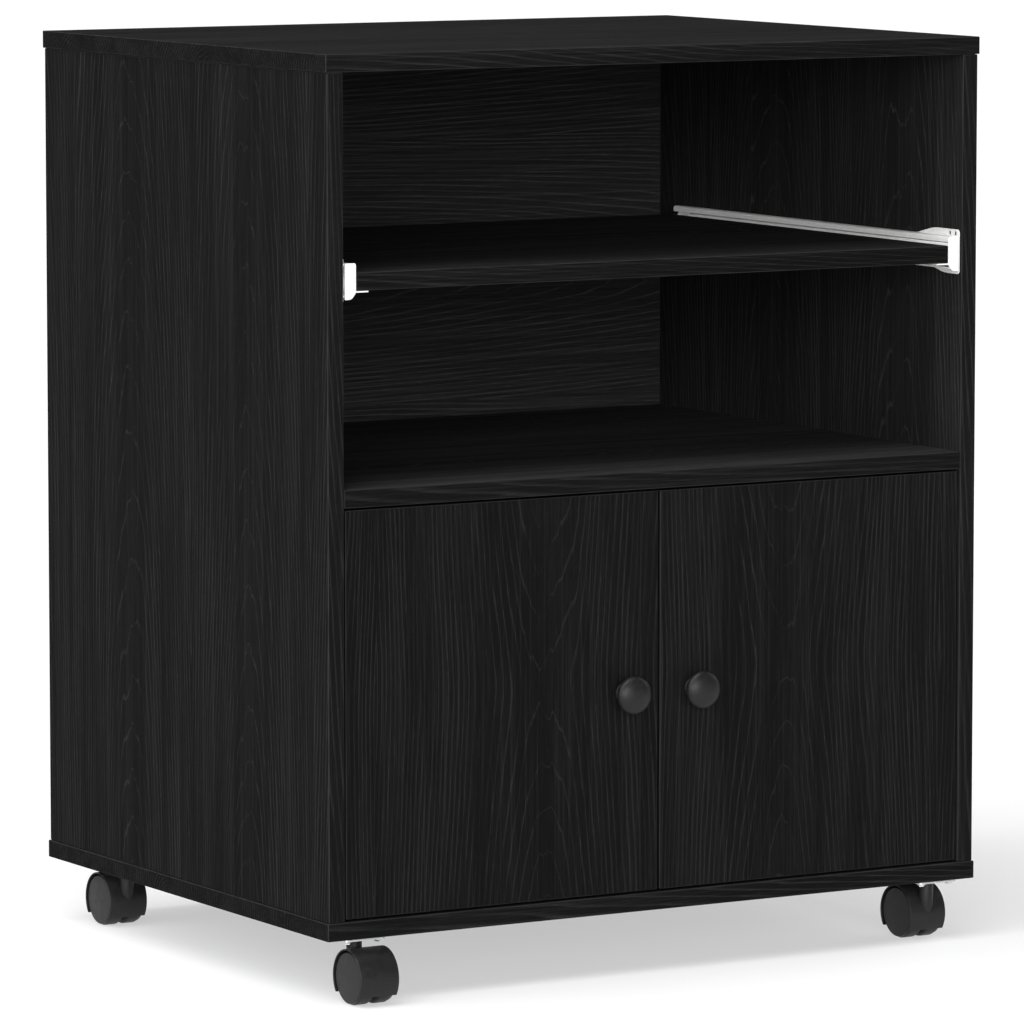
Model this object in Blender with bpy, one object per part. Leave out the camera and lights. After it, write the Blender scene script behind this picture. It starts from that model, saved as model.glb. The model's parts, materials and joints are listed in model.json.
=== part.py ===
"""A mobile printer stand: a board carcass on four twin-wheel casters, with a pull-out shelf on roller slides
above a fixed shelf, and a cupboard with two inset doors below it.

Metres, +Z up. The front faces -Y. The origin is on the floor, under the centre of the whole object's box.
"""

from math import cos, pi, radians, sin

import bmesh
import bpy
from mathutils import Matrix, Vector

# Carcass
WIDTH = 0.640
DEPTH = 0.510
CARCASS_HEIGHT = 0.729
BOARD = 0.015
SIDE_OVERHANG = 0.0015  # how far the top and bottom panels stand past the side panels
END_OVERHANG = 0.001  # and past their front and back edges
BACK_RECESS = 0.0025  # back panel, in from the back edge of the top panel
EDGE_RADIUS = 0.0006
GAP = 0.0003  # between pieces that touch

# Shelves and doors, as heights above the underside of the bottom panel
FIXED_SHELF_TOP = 0.3726
PULL_OUT_TOP = 0.5505
PULL_OUT_WIDTH = 0.581
PULL_OUT_DEPTH = 0.450
PULL_OUT_RECESS = 0.0026  # behind the front edge of the top panel
DOOR_RECESS = 0.0015  # behind the front edge of the side panels
DOOR_GAP = 0.002  # above, below and at the side panels
DOOR_MEETING_GAP = 0.0022
KNOB_HEIGHT = 0.1865
KNOB_FROM_CENTRE = 0.034
HINGE_HEIGHTS = {"lower": 0.075, "upper": 0.297}

# Slides: a channel on each side panel and an angle under the shelf, with a roller on each
STEEL = 0.0012
RAIL_BOTTOM = 0.5305  # above the underside of the bottom panel
RAIL_HEIGHT = 0.0275
RAIL_REACH = 0.011  # from the side panel to the channel's open side
RAIL_SETBACK = 0.001  # behind the front edge of the pull-out shelf
PLATE_LENGTH = 0.066  # front plate of the channel, which is taller than the channel and tapers to it
PLATE_STANDS = (0.0050, 0.0056)  # below and above the channel
PLATE_CORNER = 0.0025
SLOT_SETBACKS = (0.0055, 0.0140)
SLOT_HALF = 0.0006
SLOT_RISE = (0.0004, 0.0040)  # slots of the front plate, above the channel
LEDGE = 0.012  # flange of the shelf's angle, under the shelf
RUNNER_STAND = 0.002  # runner's top above the shelf's top
FRONT_ROLLER_RADIUS = 0.0092
REAR_ROLLER_RADIUS = 0.0122
ROLLER_WIDTH = 0.007
ROLLER_SETBACK = 0.002  # from the ends of the slide
ROLLER_BORE = 0.0028
ROLLER_EDGE = 0.0008
PIN_RADIUS = 0.0025

# Concealed hinges. Cup, flange and arm places are distances from the door's outer edge and front face.
CUP_CENTRE = 0.0225
CUP_RADIUS = 0.0175
CUP_DEPTH = 0.0115
CUP_WALL = 0.0012
CUP_CLEARANCE = 0.0004
FLANGE_THICKNESS = 0.0012
FLANGE_HALF_WIDTH = 0.010
FLANGE_REACH = (0.014, 0.031)  # from the cup's centre, up and down
FLANGE_SCREW = 0.025
ARM_HALF_HEIGHT = 0.006
ARM_OUTLINE = (
    (0.0015, 0.024), (0.0015, 0.066), (0.0080, 0.066), (0.0120, 0.040),
    (0.0290, 0.027), (0.0290, 0.0115), (0.0160, 0.0115), (0.0160, 0.019),
)
ARM_PLATE = (0.030, 0.058)  # front and back of the mounting plate
ARM_PLATE_HALF_HEIGHT = 0.017

# Knobs and their screws
KNOB_LENGTH = 0.0235
KNOB_RADIUS = 0.0156
KNOB_BORE_DEPTH = 0.013
FOOT_RADIUS = 0.0092
FOOT = 0.0030
NECK_RADIUS = 0.0066
NECK = 0.0085
SCREW_RADIUS = 0.0020
SCREW_HOLE = 0.0024
SCREW_HEAD_RADIUS = 0.0040
SCREW_HEAD = 0.0022

# Magnetic catches under the fixed shelf, and the doors' strike plates
CATCH_FROM_CENTRE = 0.040
CATCH_HALF = 0.021
CATCH_HEIGHT = 0.012
CATCH_DEPTH = 0.015
POLE_DROPS = (0.0032, 0.0075)  # of each pole plate's top, below the catch's top
POLE_HALF = 0.015
POLE_THICKNESS = 0.0016
POLE_REACH = 0.001  # in front of the housing
STRIKE_HALF = 0.017
STRIKE_THICKNESS = 0.0012

# Casters
CASTER_HEIGHT = 0.054
WHEEL_RADIUS = 0.0225
WHEEL_WIDTH = 0.0150
WHEEL_SHOULDER = 0.0022
HOOD_RADIUS = 0.0243
HOOD_WIDTH = 0.036
HOOD_WALL = 0.0012
HOOD_MOUTH = 0.0085  # height of the shell's lower edge
WEB_HALF = 0.0020
TRAIL = 0.020  # from the swivel's axis to the axle
SIDE_INSET = 0.036
FRONT_INSET = 0.021
REAR_INSET = 0.080
AXLE_RADIUS = 0.0025
AXLE_BORE = 0.0028
AXLE_HALF = 0.0125
BORE_END = 0.0128
BOSS_RADIUS = 0.0065
BOSS_TOP = 0.0500
BOSS_LOW = (0.024, 0.034)  # heights where the boss's underside narrows
SWIVEL_PIN = 0.0040
PIN_DEPTH = 0.009
COLLAR_RADII = (0.0068, 0.0095)
CASTER_PLATE_HALF = 0.0195
CASTER_PLATE = 0.0015
PLATE_SCREW_REACH = 0.014
PAN_RADII = (0.0022, 0.0036)
PAN_HEIGHTS = (0.0018, 0.0006)

# Sides of a full circle, by how large the round piece is, and the angle below which its edges are smooth
WHEEL_SIDES = 32
ROUND_SIDES = 24
SMALL_SIDES = 12
SMOOTH = 35
CUTTER_SPARE = 0.001  # how far a cutter passes the surface that it cuts

# The front left caster's hood passes the front edge, and the origin is the middle of the whole box, so the
# carcass stands a little behind it.
FRONT_REACH = TRAIL + HOOD_RADIUS * cos(pi / WHEEL_SIDES) - FRONT_INSET
FRONT = (FRONT_REACH - DEPTH) / 2
BACK = FRONT + DEPTH
BASE = CASTER_HEIGHT  # height of the bottom panel's underside

SIDE_OUTER = WIDTH / 2 - SIDE_OVERHANG
SIDE_INNER = SIDE_OUTER - BOARD
SIDE_FRONT = FRONT + END_OVERHANG
SIDE_BACK = BACK - END_OVERHANG
BACK_PANEL_FRONT = BACK - BACK_RECESS - BOARD
DOOR_FRONT = SIDE_FRONT + DOOR_RECESS
DOOR_BACK = DOOR_FRONT + BOARD
DOOR_BOTTOM = BASE + BOARD + DOOR_GAP
DOOR_TOP = BASE + FIXED_SHELF_TOP - BOARD - DOOR_GAP
DOOR_OUTER = SIDE_INNER - DOOR_GAP
SLIDE_FRONT = FRONT + PULL_OUT_RECESS
SLIDE_BACK = SLIDE_FRONT + PULL_OUT_DEPTH
SHELF_BOTTOM = BASE + PULL_OUT_TOP - BOARD
RAIL_WALL = SIDE_INNER - GAP
RAIL_INSIDE = RAIL_WALL - STEEL
SHELF_RAIL_INNER = PULL_OUT_WIDTH / 2 + GAP
RUNNER_TOP = BASE + PULL_OUT_TOP + RUNNER_STAND
ROLLER_OUTER = RAIL_INSIDE - 0.0010
ROLLER_INNER = ROLLER_OUTER - ROLLER_WIDTH
FRONT_ROLLER_Y = SLIDE_FRONT + FRONT_ROLLER_RADIUS + ROLLER_SETBACK
FRONT_ROLLER_Z = RUNNER_TOP - STEEL - GAP - FRONT_ROLLER_RADIUS
REAR_ROLLER_Y = SLIDE_BACK - REAR_ROLLER_RADIUS - ROLLER_SETBACK
REAR_ROLLER_Z = BASE + RAIL_BOTTOM + RAIL_HEIGHT / 2
AXLE_Z = WHEEL_RADIUS * cos(pi / WHEEL_SIDES)  # a flat of the wheel stands on the floor
WHEEL_INNER = WEB_HALF + 0.0006
SIDES = {"left": -1, "right": 1}

# Colour, metallic and roughness of each finish
FINISHES = {
    "black_oak": ((0.016, 0.016, 0.016), 0.0, 0.5),
    "white_steel": ((0.80, 0.80, 0.78), 0.0, 0.35),
    "white_nylon": ((0.78, 0.78, 0.76), 0.0, 0.45),
    "nickel_steel": ((0.60, 0.60, 0.58), 1.0, 0.3),
    "zinc_steel": ((0.66, 0.67, 0.68), 1.0, 0.35),
    "black_plastic": ((0.035, 0.035, 0.035), 0.0, 0.45),
    "knob_black": ((0.028, 0.028, 0.029), 0.0, 0.32),
    "grey_plastic": ((0.12, 0.12, 0.12), 0.0, 0.5),
}


def clear_scene():
    for old in list(bpy.data.objects):
        bpy.data.objects.remove(old, do_unlink=True)


def material(name, finish):
    """A Principled material of this finish, one for each sub-part."""
    colour, metallic, roughness = FINISHES[finish]
    made = bpy.data.materials.new(name)
    made.use_nodes = True
    shader = made.node_tree.nodes["Principled BSDF"]
    shader.inputs["Base Color"].default_value = (*colour, 1.0)
    shader.inputs["Metallic"].default_value = metallic
    shader.inputs["Roughness"].default_value = roughness
    made.diffuse_color = (*colour, 1.0)
    return made


def new_object(name, bm, finish, location=(0, 0, 0), smooth_angle=None):
    """One object from a bmesh, with its own material. A smooth angle is given for a round piece."""
    bmesh.ops.recalc_face_normals(bm, faces=bm.faces)
    mesh = bpy.data.meshes.new(name)
    bm.to_mesh(mesh)
    bm.free()
    if smooth_angle:
        mesh.shade_smooth()
        mesh.set_sharp_from_angle(angle=radians(smooth_angle))
    mesh.materials.append(material(name, finish))
    made = bpy.data.objects.new(name, mesh)
    made.location = location
    bpy.context.scene.collection.objects.link(made)
    return made


def empty(name, location):
    made = bpy.data.objects.new(name, None)
    made.location = location
    bpy.context.scene.collection.objects.link(made)
    return made


def put_under(child, parent):
    """Parents an object without moving it."""
    child.parent = parent
    child.matrix_parent_inverse = Matrix.Translation(parent.location).inverted()


def add_box(bm, low, high):
    """A box between two corners."""
    low, high = Vector(low), Vector(high)
    place = Matrix.Translation((low + high) / 2) @ Matrix.Diagonal((*(high - low), 1))
    bmesh.ops.create_cube(bm, size=1, matrix=place)


def box_mesh(low, high):
    bm = bmesh.new()
    add_box(bm, low, high)
    return bm


def board_mesh(low, high):
    """A box with softened edges, as on a board with edge banding."""
    bm = box_mesh(low, high)
    bmesh.ops.bevel(bm, geom=bm.edges[:], offset=EDGE_RADIUS, segments=1, affect="EDGES")
    return bm


def turned_mesh(profile, axis, sides=ROUND_SIDES, half_step=False):
    """A closed profile of (radius, distance along the axis) points, turned about X, Y or Z.
    A side of the profile that lies on the axis makes no face. A half step puts a flat, and not a corner,
    at the piece's lowest and foremost points."""
    bm = bmesh.new()
    corners = [bm.verts.new((radius, 0, along)) for radius, along in profile]
    for start, end in zip(corners, corners[1:] + corners[:1]):
        if start.co.x > 0 or end.co.x > 0:
            bm.edges.new((start, end))
    lathe = {"cent": (0, 0, 0), "axis": (0, 0, 1), "angle": 2 * pi, "steps": sides}
    bmesh.ops.spin(bm, geom=bm.verts[:] + bm.edges[:], **lathe)
    bmesh.ops.remove_doubles(bm, verts=bm.verts, dist=1e-6)
    if half_step:
        bmesh.ops.rotate(bm, verts=bm.verts, matrix=Matrix.Rotation(pi / sides, 3, "Z"))
    if axis == "X":
        bmesh.ops.rotate(bm, verts=bm.verts, matrix=Matrix.Rotation(pi / 2, 3, "Y"))
    elif axis == "Y":
        bmesh.ops.rotate(bm, verts=bm.verts, matrix=Matrix.Rotation(-pi / 2, 3, "X"))
    return bm


def cylinder_mesh(radius, low, high, axis, sides=ROUND_SIDES, half_step=False):
    profile = [(0, low), (radius, low), (radius, high), (0, high)]
    return turned_mesh(profile, axis, sides, half_step)


def extruded_mesh(outline, axis, low, high):
    """An outline extruded along X, Y or Z. Its points are the two other coordinates, in that order."""
    place = "XYZ".index(axis)
    bm = bmesh.new()
    corners = [bm.verts.new((*point[:place], low, *point[place:])) for point in outline]
    made = bmesh.ops.extrude_face_region(bm, geom=[bm.faces.new(corners)])
    moved = [piece for piece in made["geom"] if isinstance(piece, bmesh.types.BMVert)]
    step = Vector((0, 0, 0))
    step[place] = high - low
    bmesh.ops.translate(bm, verts=moved, vec=step)
    return bm


def joined(target, tool, operation, name):
    """Joins a bmesh or an object to this object, or cuts it away, with a Boolean that stays on it."""
    if isinstance(tool, bmesh.types.BMesh):
        tool = new_object(f"{target.name}_{name}", tool, "grey_plastic")
    tool.hide_render = True
    tool.display_type = "WIRE"
    tool.parent = target
    modifier = target.modifiers.new(name, "BOOLEAN")
    modifier.operation = operation
    modifier.solver = "EXACT"
    modifier.object = tool
    return target


def add(target, tool, name):
    return joined(target, tool, "UNION", name)


def cut(target, tool, name):
    return joined(target, tool, "DIFFERENCE", name)


def placed(bm, x=0.0, y=0.0, z=0.0):
    bmesh.ops.translate(bm, verts=bm.verts, vec=(x, y, z))
    return bm


def mirrored(outline, side):
    """An outline whose first coordinate is X, on one side of the stand."""
    return [(side * x, other) for x, other in outline]


def between(side, near, far):
    """Two X coordinates on one side of the stand, lowest first."""
    return sorted((side * near, side * far))


def carcass():
    half = WIDTH / 2
    top_low = BASE + CARCASS_HEIGHT - BOARD
    new_object("bottom_panel", board_mesh((-half, FRONT, BASE), (half, BACK, BASE + BOARD)), "black_oak")
    new_object("top_panel", board_mesh((-half, FRONT, top_low), (half, BACK, top_low + BOARD)), "black_oak")
    low, high = BASE + BOARD + GAP, top_low - GAP
    for name, side in SIDES.items():
        x0, x1 = between(side, SIDE_INNER, SIDE_OUTER)
        panel = board_mesh((x0, SIDE_FRONT, low), (x1, SIDE_BACK, high))
        new_object(f"{name}_side_panel", panel, "black_oak")
    inner = SIDE_INNER - GAP
    back = board_mesh((-inner, BACK_PANEL_FRONT, low), (inner, BACK_PANEL_FRONT + BOARD, high))
    new_object("back_panel", back, "black_oak")
    shelf_top = BASE + FIXED_SHELF_TOP
    shelf = board_mesh((-inner, SIDE_FRONT, shelf_top - BOARD), (inner, BACK_PANEL_FRONT - GAP, shelf_top))
    new_object("fixed_shelf", shelf, "black_oak")


# Every X in the slides and the doors is a distance from the stand's middle, and the side gives its sign.


def cabinet_rail(name, side):
    """A channel along the side panel, in three parts: a web with the flared front plate and the front
    roller's pin, and the two flanges that the rear roller runs between."""
    low, high = BASE + RAIL_BOTTOM, BASE + RAIL_BOTTOM + RAIL_HEIGHT
    front, plate_low, plate_high = SLIDE_FRONT + RAIL_SETBACK, low - PLATE_STANDS[0], high + PLATE_STANDS[1]
    web = [
        (front, plate_low + PLATE_CORNER), (front + PLATE_CORNER, plate_low),
        (front + 0.35 * PLATE_LENGTH, plate_low), (front + 0.70 * PLATE_LENGTH, low),
        (SLIDE_BACK, low), (SLIDE_BACK, high),
        (front + PLATE_LENGTH, high), (front + 0.59 * PLATE_LENGTH, plate_high),
        (front + PLATE_CORNER, plate_high), (front, plate_high - PLATE_CORNER),
    ]
    x0, x1 = between(side, RAIL_INSIDE, RAIL_WALL)
    rail = new_object(f"{name}_cabinet_rail", extruded_mesh(web, "X", x0, x1), "white_steel")
    for number, setback in enumerate(SLOT_SETBACKS):
        slot_low = (x0 - CUTTER_SPARE, front + setback - SLOT_HALF, high + SLOT_RISE[0])
        slot_high = (x1 + CUTTER_SPARE, front + setback + SLOT_HALF, high + SLOT_RISE[1])
        cut(rail, box_mesh(slot_low, slot_high), f"screw_slot_{number + 1}")
    pin_ends = between(side, ROLLER_INNER + GAP, RAIL_WALL - STEEL / 3)
    pin = cylinder_mesh(PIN_RADIUS, *pin_ends, "X", SMALL_SIDES)
    add(rail, placed(pin, y=FRONT_ROLLER_Y, z=FRONT_ROLLER_Z), "roller_pin")
    x0, x1 = between(side, SIDE_INNER - RAIL_REACH, RAIL_INSIDE - GAP)
    for place, z in (("lower", low), ("upper", high - STEEL)):
        flange = box_mesh((x0, front, z), (x1, SLIDE_BACK, z + STEEL))
        new_object(f"{name}_cabinet_rail_{place}_flange", flange, "white_steel")


def shelf_rail(name, side):
    """An angle under the pull-out shelf's edge, with a runner flange on top and the rear roller's pin."""
    inner, web, under = SHELF_RAIL_INNER, SHELF_RAIL_INNER + STEEL, SHELF_BOTTOM - GAP
    runner = ROLLER_OUTER - 0.0005
    section = [
        (inner - LEDGE, under - STEEL), (web, under - STEEL), (web, RUNNER_TOP - STEEL),
        (runner, RUNNER_TOP - STEEL), (runner, RUNNER_TOP), (inner, RUNNER_TOP), (inner, under),
        (inner - LEDGE, under),
    ]
    angle = extruded_mesh(mirrored(section, side), "Y", SLIDE_FRONT, SLIDE_BACK)
    rail = new_object(f"{name}_shelf_rail", angle, "white_steel")
    x0, x1 = between(side, web + GAP, runner + CUTTER_SPARE)
    notch_low = (x0, REAR_ROLLER_Y - REAR_ROLLER_RADIUS - ROLLER_SETBACK, RUNNER_TOP - STEEL - CUTTER_SPARE)
    notch_high = (x1, SLIDE_BACK + CUTTER_SPARE, RUNNER_TOP + CUTTER_SPARE)
    cut(rail, box_mesh(notch_low, notch_high), "roller_notch")
    pin_ends = between(side, inner + STEEL / 3, ROLLER_OUTER - GAP)
    pin = cylinder_mesh(PIN_RADIUS, *pin_ends, "X", SMALL_SIDES)
    add(rail, placed(pin, y=REAR_ROLLER_Y, z=REAR_ROLLER_Z), "roller_pin")
    return rail


def roller(name, side, radius, y, z):
    """A nylon roller with its origin on its own axis."""
    x0, x1 = between(side, ROLLER_INNER, ROLLER_OUTER)
    profile = [
        (ROLLER_BORE, x0), (radius - ROLLER_EDGE, x0), (radius, x0 + ROLLER_EDGE), (radius, x1 - ROLLER_EDGE),
        (radius - ROLLER_EDGE, x1), (ROLLER_BORE, x1),
    ]
    return new_object(name, turned_mesh(profile, "X"), "white_nylon", (0, y, z), SMOOTH)


def pull_out_shelf():
    half = PULL_OUT_WIDTH / 2
    slide = empty("pull_out_slide", (0, SLIDE_FRONT, BASE + PULL_OUT_TOP))
    board = board_mesh((-half, SLIDE_FRONT, SHELF_BOTTOM), (half, SLIDE_BACK, BASE + PULL_OUT_TOP))
    put_under(new_object("pull_out_shelf", board, "black_oak"), slide)
    for name, side in SIDES.items():
        cabinet_rail(name, side)
        roller(f"{name}_front_roller", side, FRONT_ROLLER_RADIUS, FRONT_ROLLER_Y, FRONT_ROLLER_Z)
        put_under(shelf_rail(name, side), slide)
        rear = roller(f"{name}_rear_roller", side, REAR_ROLLER_RADIUS, REAR_ROLLER_Y, REAR_ROLLER_Z)
        put_under(rear, slide)


def knob(name, x, z):
    """A mushroom knob: a flat foot, a narrow neck and a domed head, bored from behind for its screw."""
    rim, dome_start, flare, steps = 0.0150, 0.0165, 0.004, 4
    profile = [
        (SCREW_HOLE, 0), (FOOT_RADIUS, 0), (FOOT_RADIUS, FOOT * 0.6), (FOOT_RADIUS - 0.001, FOOT),
        (NECK_RADIUS, FOOT + 0.002), (NECK_RADIUS, NECK), (KNOB_RADIUS - flare, NECK + flare),
        (KNOB_RADIUS, rim), (KNOB_RADIUS, dome_start),
    ]
    for step in range(1, steps):
        angle = pi / 2 * step / steps
        profile.append((KNOB_RADIUS * cos(angle), dome_start + (KNOB_LENGTH - dome_start) * sin(angle)))
    profile += [(0, KNOB_LENGTH), (0, KNOB_BORE_DEPTH), (SCREW_HOLE, KNOB_BORE_DEPTH)]
    outwards = [(radius, -along) for radius, along in profile]
    return new_object(name, turned_mesh(outwards, "Y"), "knob_black", (x, DOOR_FRONT - GAP, z), SMOOTH)


def knob_screw(name, x, z):
    """A pan-head machine screw, through the door and into the knob."""
    length = BOARD + KNOB_BORE_DEPTH - 0.002
    profile = [
        (0, -length), (SCREW_RADIUS, -length), (SCREW_RADIUS, GAP), (SCREW_HEAD_RADIUS, GAP),
        (SCREW_HEAD_RADIUS * 0.8, SCREW_HEAD), (0, SCREW_HEAD),
    ]
    return new_object(name, turned_mesh(profile, "Y", SMALL_SIDES), "zinc_steel", (x, DOOR_BACK, z), SMOOTH)


def door(name, side):
    """A door with its origin on the hinge line, its front outer corner, and what rides on it."""
    hinge = empty(f"{name}_door_hinge", (side * DOOR_OUTER, DOOR_FRONT, 0))
    x0, x1 = between(side, DOOR_MEETING_GAP / 2, DOOR_OUTER)
    panel = board_mesh((x0, 0, DOOR_BOTTOM), (x1, BOARD, DOOR_TOP))
    placed(panel, x=-side * DOOR_OUTER)
    leaf = new_object(f"{name}_door", panel, "black_oak", (side * DOOR_OUTER, DOOR_FRONT, 0))
    put_under(leaf, hinge)
    knob_x, knob_z = side * KNOB_FROM_CENTRE, BASE + KNOB_HEIGHT
    hole = cylinder_mesh(SCREW_HOLE, -CUTTER_SPARE, BOARD + CUTTER_SPARE, "Y", SMALL_SIDES)
    cut(leaf, placed(hole, x=knob_x - side * DOOR_OUTER, z=knob_z), "knob_hole")
    put_under(knob(f"{name}_knob", knob_x, knob_z), hinge)
    put_under(knob_screw(f"{name}_knob_screw", knob_x, knob_z), hinge)
    pocket_end = BOARD - CUP_DEPTH - CUP_CLEARANCE
    for place, height in HINGE_HEIGHTS.items():
        pocket = cylinder_mesh(CUP_RADIUS + CUP_CLEARANCE, pocket_end, BOARD + CUTTER_SPARE, "Y")
        cut(leaf, placed(pocket, x=-side * CUP_CENTRE, z=BASE + height), f"{place}_cup_pocket")
        cup = hinge_cup(f"{name}_{place}_hinge_cup", side, BASE + height)
        put_under(cup, hinge)
        hinge_arm(f"{name}_{place}_hinge_arm", side, BASE + height)
    put_under(strike_plate(f"{name}_strike_plate", side), hinge)
    return leaf


def hinge_cup(name, side, z):
    """A steel cup let into the door's back, with a flange that is screwed on above and below it."""
    inside, bottom, top = CUP_RADIUS - CUP_WALL, CUP_WALL - CUP_DEPTH, GAP + FLANGE_THICKNESS
    rim = top + 0.0004
    profile = [
        (0, -CUP_DEPTH), (CUP_RADIUS, -CUP_DEPTH), (CUP_RADIUS, rim),
        (inside, rim), (inside, bottom), (0, bottom),
    ]
    place = (side * (DOOR_OUTER - CUP_CENTRE), DOOR_BACK, z)
    cup = new_object(name, turned_mesh(profile, "Y"), "nickel_steel", place, SMOOTH)
    for end in (-1, 1):
        z0, z1 = sorted(end * reach for reach in FLANGE_REACH)
        tab = box_mesh((-FLANGE_HALF_WIDTH, GAP, z0), (FLANGE_HALF_WIDTH, top, z1))
        corners = [edge for edge in tab.edges if abs(edge.verts[0].co.y - edge.verts[1].co.y) > GAP]
        bmesh.ops.bevel(tab, geom=corners, offset=0.003, segments=2, affect="EDGES")
        add(cup, tab, f"flange_{end}")
        head = cylinder_mesh(0.0035, top - FLANGE_THICKNESS / 2, top + 0.0012, "Y", SMALL_SIDES)
        add(cup, placed(head, z=end * FLANGE_SCREW), f"screw_{end}")
    return cup


def hinge_arm(name, side, z):
    """The arm and its mounting plate on the side panel. Its nose reaches into the cup of the closed door."""
    outline = [(side * (DOOR_OUTER - inward), DOOR_FRONT + back) for inward, back in ARM_OUTLINE]
    arm_mesh = extruded_mesh(outline, "Z", z - ARM_HALF_HEIGHT, z + ARM_HALF_HEIGHT)
    arm = new_object(name, arm_mesh, "nickel_steel")
    x0, x1 = between(side, DOOR_OUTER - 0.0030, SIDE_INNER - GAP)
    plate_low = (x0, DOOR_FRONT + ARM_PLATE[0], z - ARM_PLATE_HALF_HEIGHT)
    plate_high = (x1, DOOR_FRONT + ARM_PLATE[1], z + ARM_PLATE_HALF_HEIGHT)
    add(arm, box_mesh(plate_low, plate_high), "mounting_plate")
    return arm


def strike_plate(name, side):
    x, z = side * CATCH_FROM_CENTRE, BASE + FIXED_SHELF_TOP - BOARD - GAP - CATCH_HEIGHT / 2
    low = (x - STRIKE_HALF, DOOR_BACK + GAP, z - 0.0055)
    high = (x + STRIKE_HALF, DOOR_BACK + GAP + STRIKE_THICKNESS, z + 0.0035)
    return new_object(name, box_mesh(low, high), "zinc_steel")


def magnetic_catch(name, side):
    """A housing screwed under the fixed shelf, with its two pole plates facing the door's strike plate."""
    x, top = side * CATCH_FROM_CENTRE, BASE + FIXED_SHELF_TOP - BOARD - GAP
    face = DOOR_BACK + GAP + STRIKE_THICKNESS + GAP
    body_low = (x - CATCH_HALF, face + POLE_REACH, top - CATCH_HEIGHT)
    body = box_mesh(body_low, (x + CATCH_HALF, face + CATCH_DEPTH, top))
    bmesh.ops.bevel(body, geom=body.edges[:], offset=0.001, segments=1, affect="EDGES")
    catch = new_object(name, body, "grey_plastic")
    for number, drop in enumerate(POLE_DROPS):
        pole_low = (x - POLE_HALF, face, top - drop - POLE_THICKNESS)
        pole_high = (x + POLE_HALF, face + 3 * POLE_REACH, top - drop)
        add(catch, box_mesh(pole_low, pole_high), f"pole_{number + 1}")
    return catch


def caster_plate(name, x, y):
    """The zinc plate under the bottom panel, with its four screw heads, its collar and the swivel's pin."""
    top, collar_low = BASE - GAP, BOSS_TOP + GAP
    bottom, middle = top - CASTER_PLATE, top - CASTER_PLATE / 2
    half = CASTER_PLATE_HALF
    plate = box_mesh((-half, -half, bottom), (half, half, top))
    corners = [edge for edge in plate.edges if abs(edge.verts[0].co.z - edge.verts[1].co.z) > GAP]
    bmesh.ops.bevel(plate, geom=corners, offset=0.003, segments=2, affect="EDGES")
    made = new_object(name, plate, "zinc_steel", (x, y, 0), SMOOTH)
    collar = [
        (0, collar_low - PIN_DEPTH), (SWIVEL_PIN, collar_low - PIN_DEPTH), (SWIVEL_PIN, collar_low),
        (COLLAR_RADII[0], collar_low), (COLLAR_RADII[1], middle), (0, middle),
    ]
    add(made, turned_mesh(collar, "Z"), "collar_and_pin")
    head = [
        (0, bottom - PAN_HEIGHTS[0]), (PAN_RADII[0], bottom - PAN_HEIGHTS[0]),
        (PAN_RADII[1], bottom - PAN_HEIGHTS[1]), (PAN_RADII[1], middle), (0, middle),
    ]
    corners = [(a * PLATE_SCREW_REACH, b * PLATE_SCREW_REACH) for a in (-1, 1) for b in (-1, 1)]
    for number, (screw_x, screw_y) in enumerate(corners):
        screw = placed(turned_mesh(head, "Z", SMALL_SIDES), x=screw_x, y=screw_y)
        add(made, screw, f"screw_{number + 1}")
    return made


def caster_hood(name, x, y, trail_way):
    """A round shell over both wheels with a web between them and the boss that turns on the plate's pin.
    Its origin is on the swivel's axis, and the axle trails the way that trail_way points along Y."""
    axle_y, half, room = trail_way * TRAIL, HOOD_WIDTH / 2, HOOD_RADIUS - HOOD_WALL
    section = [
        (0, -WEB_HALF), (room, -WEB_HALF), (room, -half), (HOOD_RADIUS, -half),
        (HOOD_RADIUS, half), (room, half), (room, WEB_HALF), (0, WEB_HALF),
    ]
    shell = placed(turned_mesh(section, "X", WHEEL_SIDES, half_step=True), y=axle_y, z=AXLE_Z)
    hood = new_object(name, shell, "black_plastic", (x, y, 0), SMOOTH)
    outline = [
        (0, BOSS_LOW[0]), (BOSS_RADIUS * 0.55, BOSS_LOW[0]), (BOSS_RADIUS, BOSS_LOW[1]),
        (BOSS_RADIUS, BOSS_TOP), (0, BOSS_TOP),
    ]
    boss = new_object(f"{name}_boss", turned_mesh(outline, "Z"), "black_plastic")
    saddle = cylinder_mesh(HOOD_RADIUS - HOOD_WALL / 2, -half, half, "X", WHEEL_SIDES, half_step=True)
    cut(boss, placed(saddle, y=axle_y, z=AXLE_Z), "saddle")
    pin_hole = cylinder_mesh(SWIVEL_PIN + GAP, BOSS_TOP - PIN_DEPTH - 0.0005, BOSS_TOP + CUTTER_SPARE, "Z")
    cut(boss, pin_hole, "pin_hole")
    add(hood, boss, "boss")
    mouth_low = (-half - CUTTER_SPARE, axle_y - 1.2 * HOOD_RADIUS, AXLE_Z - 1.2 * HOOD_RADIUS)
    mouth_high = (half + CUTTER_SPARE, axle_y + 1.2 * HOOD_RADIUS, HOOD_MOUTH)
    cut(hood, box_mesh(mouth_low, mouth_high), "mouth")
    bore = cylinder_mesh(AXLE_BORE, -half, half, "X", SMALL_SIDES)
    cut(hood, placed(bore, y=axle_y, z=AXLE_Z), "axle_bore")
    return hood


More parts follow.
